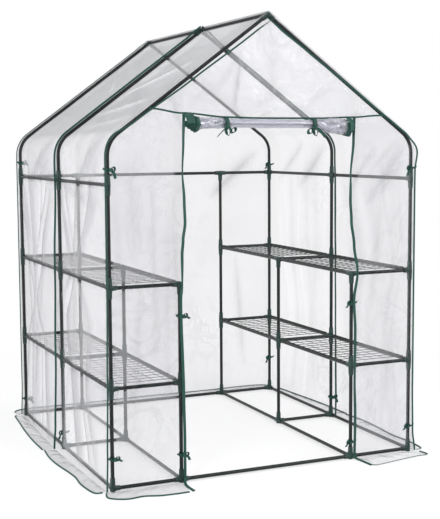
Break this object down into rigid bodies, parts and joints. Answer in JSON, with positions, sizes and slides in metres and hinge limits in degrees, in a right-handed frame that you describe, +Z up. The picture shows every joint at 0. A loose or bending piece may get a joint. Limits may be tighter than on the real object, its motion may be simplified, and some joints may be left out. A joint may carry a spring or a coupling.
{
  "type": "walk-in film greenhouse",
  "caption": "Walk-in greenhouse with a plugged tube frame, wire shelf racks, pitched clear film cover, rolled-up door and ground skirts.",
  "frame": {"origin": "centre of the footprint, on the ground", "axes": "+Z up, -Y out of the doorway, +X to the right seen from the front"},
  "size_m": [1.6246, 1.6966, 1.951],
  "materials": {
    "tube": "satin",
    "connector": "satin",
    "shelf_wire": "satin",
    "film": "gloss",
    "ribbon": "matte"
  },
  "bodies": {
    "root": {"arch_bindings": "ribbon", "back_film": "film", "back_skirt": "film", "back_top_rail": "tube", "base_connectors": "connector", "base_cross_rails": "tube", "base_side_rails": "tube", "door_edge_bindings": "ribbon", "door_ties": "ribbon", "front_arch": "tube", "front_gable_film": "film", "front_left_film": "film", "front_right_film": "film", "front_skirts": "film", "header_binding": "ribbon", "left_inner_posts": "tube", "left_outer_posts": "tube", "left_roof_film": "film", "left_wall_film": "film", "lower_left_front_wire_shelf": "shelf_wire", "lower_left_rear_wire_shelf": "shelf_wire", "lower_left_shelf_rails": "tube", "lower_right_front_wire_shelf": "shelf_wire", "lower_right_rear_wire_shelf": "shelf_wire", "lower_right_shelf_rails": "tube", "lower_shelf_connectors": "connector", "middle_arch": "tube", "rear_arch": "tube", "ridge_connectors": "connector", "ridge_pole": "tube", "right_inner_posts": "tube", "right_outer_posts": "tube", "right_roof_film": "film", "right_wall_film": "film", "rolled_door": "film", "side_skirts": "film", "side_top_rails": "tube", "top_rail_connectors": "connector", "upper_left_front_wire_shelf": "shelf_wire", "upper_left_rear_wire_shelf": "shelf_wire", "upper_left_shelf_rails": "tube", "upper_right_front_wire_shelf": "shelf_wire", "upper_right_rear_wire_shelf": "shelf_wire", "upper_right_shelf_rails": "tube", "upper_shelf_connectors": "connector"}
  },
  "joints": []
}
